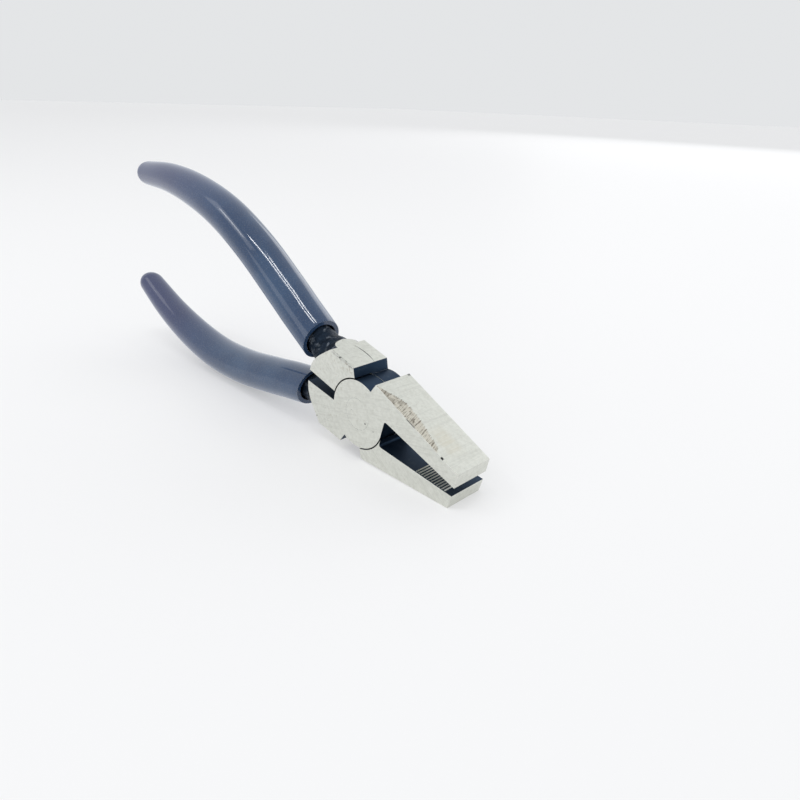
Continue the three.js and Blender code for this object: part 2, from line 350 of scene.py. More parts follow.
def blockMarks(tree, place, x, y, z, side):  # masks of the crack, the dirty edge and the mottle below it
    face = head["thick"] / 2
    far = calc(tree, "SUBTRACT", x, crack["middle"])
    bend = calc(tree, "ADD", times(tree, far, far, crack["bend"]), crack["y"])
    halfWidth = ramp(tree, calc(tree, "ABSOLUTE", far), 0.4, crack["reach"], crack["halfWidth"], crack["thin"])
    line = calc(tree, "LESS_THAN", calc(tree, "ABSOLUTE", calc(tree, "SUBTRACT", y, bend)), halfWidth)
    outer = ramp(tree, z, -block["height"] + 0.02, -block["height"] + 0.06, 1.0, 0.0)
    line = times(tree, line, outer, within(tree, far, -crack["half"], crack["half"], 0.5))
    toEdge = calc(tree, "ADD", calc(tree, "ABSOLUTE", calc(tree, "SUBTRACT", y, face)),
                  calc(tree, "ABSOLUTE", calc(tree, "ADD", z, block["height"])))
    onBlock = within(tree, x, grime["from"], grime["to"], 0.6)
    patches = useGroup(tree, blotches, place, Size=grime["size"], Cover=grime["cover"])
    edgeDirt = times(tree, ramp(tree, toEdge, *grime["edge"], 1.0, 0.0), onBlock,
                     calc(tree, "ADD", times(tree, patches, 0.8), 0.2), grime["share"])
    mottle = times(tree, ramp(tree, toEdge, *grime["below"], 1.0, 0.0), onBlock, side,
                   useGroup(tree, blotches, place, Size=grime["mottleSize"], Cover=grime["mottleCover"]),
                   grime["mottle"])
    return most(tree, line, edgeDirt), mottle


def groundSteel(lever):
    material, tree, shader = newFinish("ground_steel_" + lever)
    place, x, y, z = ownPlace(tree, lever)
    face = head["thick"] / 2
    side = ramp(tree, calc(tree, "ABSOLUTE", y), face - 0.05, face - 0.01)
    # lines run across the outer faces and slantwise over the side faces
    slant = addNode(tree, "ShaderNodeMapping", {"vector_type": "POINT"}, {
        "Vector": place, "Rotation": (0, math.radians(ground["sideAngle"]), 0)})
    along = useGroup(tree, grindLines, slant.outputs[0], Spacing=ground["lineSpacing"], Stretch=ground["sideStretch"])
    cross = useGroup(tree, grindLines, joined(tree, y, x, z), Spacing=ground["lineSpacing"] * ground["outerSpacing"],
                     Stretch=ground["outerStretch"])
    height = addNode(tree, "ShaderNodeMix", inputs={"Factor": side, "A": cross, "B": along}).outputs[0]
    cloud = noiseAt(tree, place, ground["cloud"], 8.0, 0.6)
    tone = mixColour(tree, ramp(tree, cloud, 0.3, 0.66), ground["shade"], ground["colour"])
    tone = mixColour(tree, times(tree, ramp(tree, height, 0.48, 0.64), ground["lineShare"]), tone, ground["line"])
    stained = times(tree, useGroup(tree, blotches, place, Size=ground["stainSize"], Cover=ground["stainCover"]),
                    ramp(tree, x, -9.5, -6.5, ground["stainBack"], ground["stainFront"]))
    tone = mixColour(tree, stained, tone, ground["stain"])
    dirt = useGroup(tree, pits, place, Pitch=ground["pitch"], Radius=ground["pit"], Share=ground["pitShare"])
    rough = calc(tree, "ADD", ground["roughness"], times(tree, height, 0.2))
    relief = height
    if lever == "front":
        inside, dark, marks, warmth = jawBand(tree, place, x, y, z)
        streaks = ramp(tree, cross, 0.4, 0.6, 0.3, 1.0)
        tone = mixColour(tree, times(tree, warmth, streaks, band["warmShare"]), tone, band["warm"])
        tone = mixColour(tree, times(tree, inside, band["tintShare"]), tone, band["tint"])
        tone = mixColour(tree, times(tree, dark, band["lineShare"]), tone, band["line"])
        rough = calc(tree, "ADD", rough, times(tree, inside, 0.08))
        relief = calc(tree, "SUBTRACT", relief, times(tree, dark, band["depth"]))
        onFront = ramp(tree, y, -face + 0.01, -face + 0.05, 1.0, 0.0)
        dirt = most(tree, dirt, marks, *(times(tree, pitAt(tree, x, z, spot), onFront) for spot in sidePits))
    else:
        marks, mottle = blockMarks(tree, place, x, y, z, side)
        dirt = most(tree, dirt, marks)
        tone = mixColour(tree, mottle, tone, ground["stain"])
    tone = mixColour(tree, times(tree, wornEdges(tree), ground["wear"]), tone, ground["edge"])
    tone = mixColour(tree, dirt, tone, ground["dirt"])
    applyFinish(tree, shader, tone, calc(tree, "ADD", rough, times(tree, dirt, 0.3)), 1.0,
                calc(tree, "SUBTRACT", relief, times(tree, dirt, ground["dirtDepth"])), ground["lineDepth"])
    return material


oxide = {
    "colour": (0.024, 0.045, 0.080), "bare": (0.046, 0.070, 0.105), "edge": (0.42, 0.44, 0.46),
    "roughness": 0.38, "bareShare": 0.55, "bareSize": 2.6, "bareCover": 0.42, "wear": 0.5,
    "lineSpacing": 0.25, "lineStretch": 14.0, "lineDepth": 0.00001,    # the depth in metres
}


def oxideSteel(lever):
    material, tree, shader = newFinish("oxide_steel_" + lever)
    place = ownPlace(tree, lever)[0]
    rubbed = useGroup(tree, blotches, place, Size=oxide["bareSize"], Cover=oxide["bareCover"])
    tone = mixColour(tree, times(tree, rubbed, oxide["bareShare"]), oxide["colour"], oxide["bare"])
    tone = mixColour(tree, times(tree, wornEdges(tree), oxide["wear"]), tone, oxide["edge"])
    lines = useGroup(tree, grindLines, place, Spacing=oxide["lineSpacing"], Stretch=oxide["lineStretch"])
    rough = calc(tree, "ADD", oxide["roughness"], times(tree, lines, 0.2))
    applyFinish(tree, shader, tone, rough, 1.0, lines, oxide["lineDepth"])
    return material


forged = {
    "colour": (0.012, 0.021, 0.036), "scuff": (0.26, 0.29, 0.33),
    "roughness": (0.3, 0.62),
    "scuffShare": 0.4, "scuffSize": 2.4, "scuffCover": 0.42,
    "lumps": 0.8, "lumpDepth": 0.0006,       # the depth in metres
}


def forgedSteel(lever):
    material, tree, shader = newFinish("forged_steel_" + lever)
    place = ownPlace(tree, lever)[0]
    lumps = noiseAt(tree, place, forged["lumps"], 8.0, 0.6)
    scuffs = useGroup(tree, blotches, place, Size=forged["scuffSize"], Cover=forged["scuffCover"])
    tone = mixColour(tree, times(tree, scuffs, forged["scuffShare"]), forged["colour"], forged["scuff"])
    rough = ramp(tree, lumps, 0.3, 0.7, *forged["roughness"])
    applyFinish(tree, shader, tone, rough, 0.9, lumps, forged["lumpDepth"])
    return material


vinyl = {
    "colour": (0.018, 0.055, 0.126), "deep": (0.007, 0.034, 0.094),
    # the pale violet colour towards the far end is a painted reflection, not a change in the vinyl
    "farReflection": (0.038, 0.044, 0.116), "farReflectionSpan": (-128.0, -60.0, 0.85),    # towards the far end, and how much there
    "roughness": (0.08, 0.12), "refraction": 1.62,
    "bloom": 0.42, "bloomRoughness": 0.38, "bloomTint": (0.80, 0.87, 1.0),    # the paleness towards its edges
    "dust": (0.35, 0.37, 0.42), "dustShare": 0.25, "dustPitch": 2.6, "speck": 0.10, "specks": 0.10,
    "cloud": 0.06, "skin": 0.16, "grain": 2.6, "grainShare": 0.12,    # patterns in repeats for each millimetre
    "peel": 0.000008,                             # metres, of the skin's slow waves
}


def gripVinyl(lever):
    material, tree, shader = newFinish("grip_vinyl_" + lever)
    place, x = ownPlace(tree, lever)[:2]
    cloud = noiseAt(tree, place, vinyl["cloud"], 3.0)
    tone = mixColour(tree, ramp(tree, cloud, 0.35, 0.65), vinyl["deep"], vinyl["colour"])
    # painted reflection: the base colour turns pale violet towards the far end of the grip
    tone = mixColour(tree, ramp(tree, x, *vinyl["farReflectionSpan"], 0.0), tone, vinyl["farReflection"])
    skin = noiseAt(tree, place, vinyl["skin"], 1.0, 0.4)
    dust = useGroup(tree, pits, place, Pitch=vinyl["dustPitch"], Radius=vinyl["speck"], Share=vinyl["specks"])
    grain = noiseAt(tree, place, vinyl["grain"], 2.0, 0.7)
    pale = calc(tree, "ADD", times(tree, dust, vinyl["dustShare"]),
                times(tree, ramp(tree, grain, 0.45, 0.75), vinyl["grainShare"]))
    tone = mixColour(tree, pale, tone, vinyl["dust"])
    rough = ramp(tree, cloud, 0.3, 0.7, *vinyl["roughness"])
    applyFinish(tree, shader, tone, rough, 0.0, skin, vinyl["peel"])
    shader.inputs["IOR"].default_value = vinyl["refraction"]
    shader.inputs["Sheen Weight"].default_value = vinyl["bloom"]
    shader.inputs["Sheen Roughness"].default_value = vinyl["bloomRoughness"]
    shader.inputs["Sheen Tint"].default_value = (*vinyl["bloomTint"], 1)
    return material


finishes = {name: [groundSteel(name), oxideSteel(name), forgedSteel(name)] for name in leverOf}
vinyls = {name: gripVinyl(name) for name in leverOf}
finishIndex = {"ground": 0, "oxide": 1, "forged": 2}
print("finishes made")


# Levers
def polar(radius, degrees):
    return radius * math.cos(math.radians(degrees)), radius * math.sin(math.radians(degrees))


def arc(radius, start, stop):
    count = max(2, round(abs(stop - start) / head["arcStep"]))
    return [polar(radius, start + (stop - start) * i / count) for i in range(count + 1)]


def meetCircle(inside, outside, radius):  # where a line from inside to outside crosses a circle about the pivot
    low, high = 0.0, 1.0
    for _ in range(50):
        mid = (low + high) / 2
        if math.hypot(*(a + (b - a) * mid for a, b in zip(inside, outside))) < radius:
            low = mid
        else:
            high = mid
    return tuple(a + (b - a) * low for a, b in zip(inside, outside))


def angleOf(point):
    return math.degrees(math.atan2(point[1], point[0]))


def quadratic(a, b, c, count):
    return [tuple((1 - t) ** 2 * p + 2 * (1 - t) * t * q + t * t * r for p, q, r in zip(a, b, c))
            for t in (i / count for i in range(count + 1))]


def cubic(a, b, c, d, count):
    return [tuple((1 - t) ** 3 * p + 3 * (1 - t) ** 2 * t * q + 3 * (1 - t) * t * t * r + t ** 3 * s
                  for p, q, r, s in zip(a, b, c, d)) for t in (i / count for i in range(count + 1))]


def jawEdges():  # tip, outer face and throat, as runs of points with the finish of each run
    throatX = head["discRadius"] + jaw["throatWall"]
    slope = math.tan(math.radians(jaw["relief"]))
    top = (jaw["reach"] - throatX) * slope
    fillet = quadratic((throatX, top - jaw["throatFillet"]), (throatX, top),
                       (throatX + jaw["throatFillet"], top - jaw["throatFillet"] * slope), 6)
    tipTop, heel = (jaw["reach"], jaw["tip"]), (jaw["heelOffset"], jaw["heelHeight"])
    return {"inner": fillet + [(jaw["reach"], 0)], "tipTop": tipTop, "heel": heel, "throatX": throatX}


def blockEdges():
    slantIn, slantDown = block["rearSlant"]
    rear = cubic((-block["reach"], -block["gap"]), (-block["reach"], -block["rearBulge"]),
                 (-block["reach"] + slantIn, -slantDown), (-block["rearOffset"], -block["height"]), 12)
    return rear, (-block["stepOffset"], -block["height"])


def marked(points, finish):
    return [(x, z, finish) for x, z in points]


def frontPlate():
    edges, (rear, step) = jawEdges(), blockEdges()
    radius = head["discRadius"]
    inner = -math.degrees(math.asin(block["gap"] / radius))
    return (marked(edges["inner"][:-1], "oxide") + marked([(jaw["reach"], 0)], "ground")
            + marked([edges["tipTop"]], "ground") + marked([edges["heel"]], "oxide")
            + marked(arc(radius, jaw["heelFoot"], 180 - inner)[:-1], "oxide")
            + marked([polar(radius, 180 - inner)], "oxide")
            + marked(rear[:-1], "oxide") + marked([rear[-1]], "ground") + marked([step], "oxide")
            + marked(arc(radius, block["stepFoot"], 360 + jaw["throatFoot"]), "oxide"))


def backJaw():
    edges = jawEdges()
    radius = head["discRadius"] + head["socketGap"]
    foot = meetCircle(polar(head["discRadius"], jaw["heelFoot"]), edges["heel"], radius)
    low = math.degrees(math.acos(edges["throatX"] / radius))
    return (marked(edges["inner"][:-1], "oxide") + marked([(jaw["reach"], 0)], "ground")
            + marked([edges["tipTop"]], "ground") + marked([edges["heel"]], "oxide")
            + marked(arc(radius, angleOf(foot), low), "oxide"))


def backBlock():
    rear, step = blockEdges()
    radius = head["discRadius"] + head["socketGap"]
    foot = meetCircle(polar(head["discRadius"], block["stepFoot"]), step, radius)
    start = -180 + math.degrees(math.asin(block["gap"] / radius))
    return (marked(rear[:-1], "oxide") + marked([rear[-1]], "ground") + marked([step], "oxide")
            + marked(arc(radius, angleOf(foot), start), "oxide"))


def prism(name, outline, low, high, cap="ground"):
    bm = bmesh.new()
    rings = [[bm.verts.new((x, y, z)) for x, z, _ in outline] for y in (low, high)]
    for ring in rings:
        bm.faces.new(ring).material_index = finishIndex[cap]
    for i, (_, _, finish) in enumerate(outline):
        j = (i + 1) % len(outline)
        face = bm.faces.new((rings[0][i], rings[0][j], rings[1][j], rings[1][i]))
        face.material_index = finishIndex[finish]
    bmesh.ops.recalc_face_normals(bm, faces=bm.faces)
    return newObject(name, newMesh(name, bm))


def turnedSolid(name, profile, sides, finish="ground"):  # a profile of radius and depth about the pivot axis
    bm = bmesh.new()
    rings = []
    for radius, depth in profile:
        if radius == 0:
            rings.append([bm.verts.new((0, depth, 0))])
        else:
            rings.append([bm.verts.new((radius * math.cos(a), depth, radius * math.sin(a)))
                          for a in (2 * math.pi * i / sides for i in range(sides))])
    for a, b in zip(rings, rings[1:]):
        for i in range(sides):
            j = (i + 1) % sides
            corners = [a[i % len(a)], a[j % len(a)], b[j % len(b)], b[i % len(b)]]
            bm.faces.new(list(dict.fromkeys(corners))).material_index = finishIndex[finish]
    bmesh.ops.recalc_face_normals(bm, faces=bm.faces)
    return newObject(name, newMesh(name, bm))


rivet = {"shank": 3.3, "headRadius": 4.7, "headDepth": 1.5, "sides": 96}


def rivetProfile(grow, past):
    face, neckAt = head["thick"] / 2, head["thick"] / 2 - rivet["headDepth"]
    wide, shank = rivet["headRadius"] + grow, rivet["shank"] + grow
    ends = [(wide, face)] if past else []
    return ([(0, -face - past), (wide, -face - past)] + [(r, -y) for r, y in ends] + [(shank, -neckAt), (shank, neckAt)]
            + ends + [(wide, face + past), (0, face + past)])


def smoothLine(points):  # a centripetal curve through points, with the length along it at each sample
    ext = [Vector((2 * points[0][0] - points[1][0], 2 * points[0][1] - points[1][1]))]
    ext += [Vector(p) for p in points]
    ext += [Vector((2 * points[-1][0] - points[-2][0], 2 * points[-1][1] - points[-2][1]))]
    dense, samples = [], 60
    for a, b, c, d in zip(ext, ext[1:], ext[2:], ext[3:]):
        t0 = 0.0
        t1 = t0 + math.sqrt((b - a).length)
        t2 = t1 + math.sqrt((c - b).length)
        t3 = t2 + math.sqrt((d - c).length)
        for i in range(samples):
            t = t1 + (t2 - t1) * i / samples
            a1 = a * ((t1 - t) / (t1 - t0)) + b * ((t - t0) / (t1 - t0))
            a2 = b * ((t2 - t) / (t2 - t1)) + c * ((t - t1) / (t2 - t1))
            a3 = c * ((t3 - t) / (t3 - t2)) + d * ((t - t2) / (t3 - t2))
            b1 = a1 * ((t2 - t) / (t2 - t0)) + a2 * ((t - t0) / (t2 - t0))
            b2 = a2 * ((t3 - t) / (t3 - t1)) + a3 * ((t - t1) / (t3 - t1))
            dense.append(b1 * ((t2 - t) / (t2 - t1)) + b2 * ((t - t1) / (t2 - t1)))
    dense.append(ext[-2])
    lengths = [0.0]
    for p, q in zip(dense, dense[1:]):
        lengths.append(lengths[-1] + (q - p).length)
    return dense, lengths


neck = {
    "points": [(-12.0, -5.8), (-20.0, -6.2)],
    "radii": [7.3, 7.5, 5.9, 4.75, 4.4],
    "groundTo": 19.4,        # the outer face's grinding takes in the neck up to here
    "sides": 56,
    "lumps": 0.14, "lumpScale": 0.55,    # height and closeness of the forged surface's lumps
    "step": 0.35, "past": 6,    # between rings in the open part, which go on this far inside the grip
    "hiddenStep": 2.5,
}
handle = {
    "reach": 107, "start": 28.1,
    "drops": [8.0, 14.4, 20.3, 23.8, 24.1, 21.9, 17.2],
    "tipShort": 9,           # the tang's tip stays this far inside the handle's end
    "tipRound": 2,
    "sleeveWall": 1.3, "sleeveGap": 0.35,    # what the tang leaves free of the grip's half width
}
grip = {
    "start": 26.5,
    "halfWidths": (6.0, 6.4, 6.25, 4.0),
    "depthRatio": 1.11,
    "cap": 3.35, "rounding": 5.0,    # how far the end stands past the handle, and the length it rounds over
    "wall": 1.15,
    "rimRound": 0.38,
    "sides": 72,
    "step": 1.2, "rimStep": 0.6,    # between rings, and near the open end
    "squaring": 13,          # length over which the rings turn square to the tool at the open end
    "waviness": 0.04, "waves": 70.0, "sink": 0.85,    # the waves in repeats for each metre
    "weld": 0.00001,         # metres
}

handleStep = handle["reach"] / (len(handle["drops"]) - 1)
handlePoints = [(-handle["start"] - i * handleStep, -drop) for i, drop in enumerate(handle["drops"])]
centreLine, centreLengths = smoothLine(neck["points"] + handlePoints)
neckEnd = next(s for p, s in zip(centreLine, centreLengths) if p.x <= -handle["start"] + 0.001)
handleEnd = centreLengths[-1]


def onHandle(distance):  # point and direction on the centreline, straight on past its ends
    s = min(max(distance, 0.0), handleEnd)
    i = min(max(next((k for k, v in enumerate(centreLengths) if v >= s), 1), 1), len(centreLine) - 1)
    a, b = centreLine[i - 1], centreLine[i]
    way = (b - a).normalized()
    t = (s - centreLengths[i - 1]) / max(centreLengths[i] - centreLengths[i - 1], 1e-9)
    point = a.lerp(b, t) + way * (distance - s)
    return point, way


def gripHalfWidth(distance):
    t = min(max((distance - neckEnd) / (handleEnd - neckEnd), 0.0), 1.0)
    weights = ((1 - t) ** 3, 3 * (1 - t) ** 2 * t, 3 * (1 - t) * t * t, t ** 3)
    return sum(width * weight for width, weight in zip(grip["halfWidths"], weights))


def tangRadius(distance):
    if distance >= neckEnd:
        return min(neck["radii"][-1], gripHalfWidth(distance) - handle["sleeveWall"] - handle["sleeveGap"])
    place = max(0.0, distance / neckEnd) * (len(neck["radii"]) - 1)
    i = min(int(place), len(neck["radii"]) - 2)
    f = place - i
    f = f * f * (3 - 2 * f)
    return neck["radii"][i] * (1 - f) + neck["radii"][i + 1] * f


def tangSolid():  # the forged tang, its surface uneven in the neck
    end = handleEnd - handle["tipShort"]
    stops = [i * neck["step"] for i in range(int((neckEnd + neck["past"]) / neck["step"]))]
    while stops[-1] < end - 3:
        stops.append(stops[-1] + neck["hiddenStep"])
    stops.append(end)
    rings = [(s, tangRadius(s)) for s in stops]
    for a in (math.radians(22.5 * k) for k in (1, 2, 3)):
        rings.append((end + handle["tipRound"] * math.sin(a), tangRadius(end) * math.cos(a)))
    bm = bmesh.new()
    made = []
    for s, radius in rings:
        point, way = onHandle(s)
        out = Vector((-way.y, way.x))
        ring = []
        for k in range(neck["sides"]):
            a = 2 * math.pi * k / neck["sides"]
            place = Vector((point.x + out.x * radius * math.cos(a), radius * math.sin(a),
                            point.y + out.y * radius * math.cos(a)))
            lump = noise.fractal(place * neck["lumpScale"], 1.0, 2.0, 4) * neck["lumps"]
            push = Vector((out.x * math.cos(a), math.sin(a), out.y * math.cos(a)))
            ring.append(bm.verts.new(place + push * lump))
        made.append(ring)
    for a, b in zip(made, made[1:]):
        for k in range(neck["sides"]):
            j = (k + 1) % neck["sides"]
            bm.faces.new((a[k], a[j], b[j], b[k]))
    bm.faces.new(made[0])
    bm.faces.new(made[-1])
    for face in bm.faces:
        face.material_index = finishIndex["forged"]
    bmesh.ops.recalc_face_normals(bm, faces=bm.faces)
    return newObject("tang", newMesh("tang", bm))


def leverSolid():
    face = head["thick"] / 2
    lap = head["lapGap"] / 2
    solid = prism("lever", frontPlate(), -face, -lap)
    solid = combine(solid, prism("backJaw", backJaw(), -2, face), "UNION")
    solid = combine(solid, prism("backBlock", backBlock(), -2, face), "UNION")
    low, top, back, away = -block["height"], -block["gap"], -neck["groundTo"], -200
    room = prism("room", [(away, top, "forged"), (away, away, "forged"), (back, away, "forged"),
                          (back, low, "ground"), (0, low, "oxide"), (0, top, "oxide")], -face, face)
    solid = combine(solid, combine(tangSolid(), room, "INTERSECT"), "UNION")
    hole = turnedSolid("hole", rivetProfile(head["rivetGap"], 1), rivet["sides"], "oxide")
    return combine(solid, hole, "DIFFERENCE")


solid = leverSolid()
print("lever solid:", len(solid.data.vertices), "points", len(solid.data.polygons), "faces")


def tidyLever(item):  # merges the flat faces and breaks the sharp edges, which are then marked as worn
    bm = bmesh.new()
    bm.from_mesh(item.data)
    bmesh.ops.remove_doubles(bm, verts=bm.verts, dist=head["weld"])

    def machined(edge):
        return all(f.material_index != finishIndex["forged"] for f in edge.link_faces)

    bmesh.ops.dissolve_limit(bm, angle_limit=math.radians(head["flat"]), verts=bm.verts,
                             edges=[e for e in bm.edges if machined(e)], delimit={"MATERIAL"})
    rim = rivet["headRadius"] + 0.3
    sharp = [e for e in bm.edges if len(e.link_faces) == 2 and e.calc_face_angle(0) > math.radians(head["sharp"])
             and machined(e) and any(math.hypot(v.co.x, v.co.z) > rim for v in e.verts)]
    worn = bm.faces.layers.float.new("worn")
    made = bmesh.ops.bevel(bm, geom=sharp, offset=head["edge"], offset_type="OFFSET", segments=2, profile=0.5,
                           affect="EDGES", clamp_overlap=True, material=-1)
    for face in made["faces"]:
        face[worn] = 1.0
    for face in bm.faces:
        face.smooth = True
    print("bevelled", len(sharp), "edges, now", len(bm.faces), "faces")
    bm.to_mesh(item.data)
    bm.free()


tidyLever(solid)

for lever, nodeName in (("front", "upper_jaw_half"), ("rear", "lower_jaw_half")):
    mesh = solid.data.copy()
    mesh.transform(leverMatrix(lever))
    for material in finishes[lever]:
        mesh.materials.append(material)
    item = newObject(nodeName + "_ground", mesh)
    shade = item.modifiers.new("evenFaces", "WEIGHTED_NORMAL")
    shade.keep_sharp = True
    item = baked(item, nodeName + "_finished")
    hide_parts(nodeName)
    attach(item, leverOf[lever])
bpy.data.objects.remove(solid)
print("levers made")

rivetPiece = turnedSolid("rivet", rivetProfile(0, 0), rivet["sides"])
rivetPiece.data.transform(leverMatrix("front"))
rivetPiece.data.materials.append(finishes["front"][finishIndex["ground"]])
rivetPiece = baked(rivetPiece, "pivot_rivet_finished")
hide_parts("pivot_rivet")
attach(rivetPiece, leverOf["front"])
print("rivet made")


# Grips: a Geometry Nodes sleeve that follows the handle
def newNodesTree(name, sockets):
    tree = bpy.data.node_groups.new(name, "GeometryNodeTree")
    kinds = {"geometry": "NodeSocketGeometry", "float": "NodeSocketFloat", "int": "NodeSocketInt",
             "vector": "NodeSocketVector", "material": "NodeSocketMaterial"}
    for label, kind in sockets:
        tree.interface.new_socket(label, in_out="INPUT", socket_type=kinds[kind])
    tree.interface.new_socket("Geometry", in_out="OUTPUT", socket_type=kinds["geometry"])
    return tree, tree.nodes.new("NodeGroupInput").outputs, tree.nodes.new("NodeGroupOutput").inputs


def setInputs(modifier, values):
    for socket in modifier.node_group.interface.items_tree:
        if socket.item_type == "SOCKET" and socket.in_out == "INPUT" and socket.name in values:
            modifier[socket.identifier] = values[socket.name]


def mixValue(tree, share, first, second):
    return calc(tree, "ADD", first, times(tree, share, calc(tree, "SUBTRACT", second, first)))


def sleeveSkin(tree, given, curve, thinner, shorter):  # one face of the sleeve: a round section along the curve
    length = tree.nodes.new("GeometryNodeSplineParameter").outputs["Length"]
    share = calc(tree, "DIVIDE", length, given["Sleeve length"], clamp=True)
    widths = [given["Width %d" % i] for i in (1, 2, 3, 4)]
    while len(widths) > 1:
        widths = [mixValue(tree, share, a, b) for a, b in zip(widths, widths[1:])]
    capStart = calc(tree, "SUBTRACT", calc(tree, "SUBTRACT", given["Sleeve length"], given["Cap"]), shorter)
    into = calc(tree, "DIVIDE", calc(tree, "SUBTRACT", length, capStart), given["Cap"], clamp=True)
    rounding = calc(tree, "SQRT", calc(tree, "SUBTRACT", 1.0, times(tree, into, into)))
    radius = times(tree, calc(tree, "SUBTRACT", widths[0], thinner), rounding)
    held = addNode(tree, "GeometryNodeStoreNamedAttribute", {"data_type": "FLOAT", "domain": "POINT"},
                   {"Geometry": curve, "Name": "alongGrip", "Value": length})
    circle = addNode(tree, "GeometryNodeCurvePrimitiveCircle", inputs={"Resolution": given["Sides"], "Radius": 1.0})
    skin = addNode(tree, "GeometryNodeCurveToMesh", inputs={
        "Curve": held.outputs[0], "Profile Curve": circle.outputs[0], "Scale": radius})
    return addNode(tree, "GeometryNodeMergeByDistance", inputs={
        "Geometry": skin.outputs[0], "Distance": grip["weld"]}).outputs[0]


def painted(tree, shape, material):  # real faces with their finish, for the tree's end
    whole = addNode(tree, "GeometryNodeRealizeInstances", inputs={"Geometry": shape})
    return addNode(tree, "GeometryNodeSetMaterial", inputs={
        "Geometry": whole.outputs[0], "Material": material}).outputs[0]


def sleeveTree():
    tree, given, out = newNodesTree("dippedSleeve", [
        ("Geometry", "geometry"), ("Sides", "int"), ("Sleeve length", "float"), ("Width 1", "float"),
        ("Width 2", "float"), ("Width 3", "float"), ("Width 4", "float"), ("Depth ratio", "float"), ("Cap", "float"),
        ("Wall", "float"), ("Opening point", "vector"), ("Opening normal", "vector"), ("Start way", "vector"),
        ("Squaring", "float"), ("Waviness", "float"), ("Material", "material")])
    path = addNode(tree, "GeometryNodeMeshToCurve", inputs={"Mesh": given["Geometry"]}).outputs[0]
    outer = sleeveSkin(tree, given, path, 0.0, 0.0)
    boreLength = calc(tree, "SUBTRACT", given["Sleeve length"], given["Wall"])
    bored = addNode(tree, "GeometryNodeTrimCurve", {"mode": "LENGTH"}, {"Curve": path, 5: boreLength})
    inner = sleeveSkin(tree, given, bored.outputs[0], given["Wall"], given["Wall"])
    turnedIn = addNode(tree, "GeometryNodeFlipFaces", inputs={"Mesh": inner})
    both = tree.nodes.new("GeometryNodeJoinGeometry")
    for piece in (outer, turnedIn.outputs[0]):
        tree.links.new(piece, both.inputs[0])
    place = tree.nodes.new("GeometryNodeInputPosition").outputs[0]
    widened = vectorCalc(tree, "MULTIPLY", place, joined(tree, 1.0, given["Depth ratio"], 1.0))
    deep = addNode(tree, "GeometryNodeSetPosition", inputs={"Geometry": both.outputs[0], "Position": widened})
    # near the open end each ring slides along the sleeve until the last lies square to the tool
    along = addNode(tree, "GeometryNodeInputNamedAttribute", {"data_type": "FLOAT"}, {"Name": "alongGrip"}).outputs[0]
    here = tree.nodes.new("GeometryNodeInputPosition").outputs[0]
    gap = vectorCalc(tree, "SUBTRACT", given["Opening point"], here)
    slide = calc(tree, "DIVIDE", vectorCalc(tree, "DOT_PRODUCT", gap, given["Opening normal"]),
                 vectorCalc(tree, "DOT_PRODUCT", given["Start way"], given["Opening normal"]))
    fade = ramp(tree, along, 0.0, given["Squaring"], 1.0, 0.0)
    shift = vectorCalc(tree, "SCALE", given["Start way"], times(tree, slide, fade))
    squared = addNode(tree, "GeometryNodeSetPosition", inputs={"Geometry": deep.outputs[0], "Offset": shift})
    # the dipped skin's slow unevenness, none at the rim
    wave = addNode(tree, "ShaderNodeTexNoise", inputs={"Scale": grip["waves"], "Detail": 1.0}).outputs[0]
    lift = times(tree, calc(tree, "SUBTRACT", wave, grip["sink"]), given["Waviness"], ramp(tree, along, 0.0, 0.004))
    facing = tree.nodes.new("GeometryNodeInputNormal").outputs[0]
    uneven = addNode(tree, "GeometryNodeSetPosition", inputs={
        "Geometry": squared.outputs[0], "Offset": vectorCalc(tree, "SCALE", facing, lift)})
    tree.links.new(painted(tree, uneven.outputs[0], given["Material"]), out[0])
    return tree


sleeve = sleeveTree()


def gripPath(lever):  # the handle's centreline from the open end to the rounded end, in the row frame
    tries = (neckEnd - 6 + i * 0.01 for i in range(1200))
    opening = next(s for s in tries if onHandle(s)[0].x <= -grip["start"])
    capEnd = handleEnd + grip["cap"]
    capStart = capEnd - grip["rounding"]
    stops = [opening + i * grip["rimStep"] for i in range(int(grip["squaring"] / grip["rimStep"]))]
    while stops[-1] + grip["step"] < capStart - 0.5:
        stops.append(stops[-1] + grip["step"])
    stops += [capStart + grip["rounding"] * math.sin(math.radians(a)) for a in range(0, 91, 5)]
    matrix = leverMatrix(lever)
    points = [matrix @ Vector((p.x, 0, p.y)) for p in (onHandle(s)[0] for s in stops)]
    bm = bmesh.new()
    verts = [bm.verts.new(p) for p in points]
    for a, b in zip(verts, verts[1:]):
        bm.edges.new((a, b))
    way = onHandle(opening)[1]
    turn = matrix.to_3x3() * 1000
    length = sum((b - a).length for a, b in zip(points, points[1:]))
    return newMesh("gripPath", bm), points[0], turn @ Vector((way.x, 0, way.y)), turn @ Vector((-1, 0, 0)), length


def finishRim(item):  # joins the two skins at the open end and rounds the rim
    bm = bmesh.new()
    bm.from_mesh(item.data)
    rim = bmesh.ops.bridge_loops(bm, edges=[e for e in bm.edges if e.is_boundary])["faces"]
    bmesh.ops.recalc_face_normals(bm, faces=bm.faces)
    edges = list({e for f in rim for e in f.edges if any(g not in rim for g in e.link_faces)})
    bmesh.ops.bevel(bm, geom=edges, offset=grip["rimRound"] / 1000, offset_type="OFFSET", segments=4, profile=0.5,
                    affect="EDGES", clamp_overlap=True)
    for face in bm.faces:
        face.smooth = True
    print("sleeve:", len(bm.verts), "points,", sum(e.is_boundary for e in bm.edges), "open edges")
    bm.to_mesh(item.data)
    bm.free()


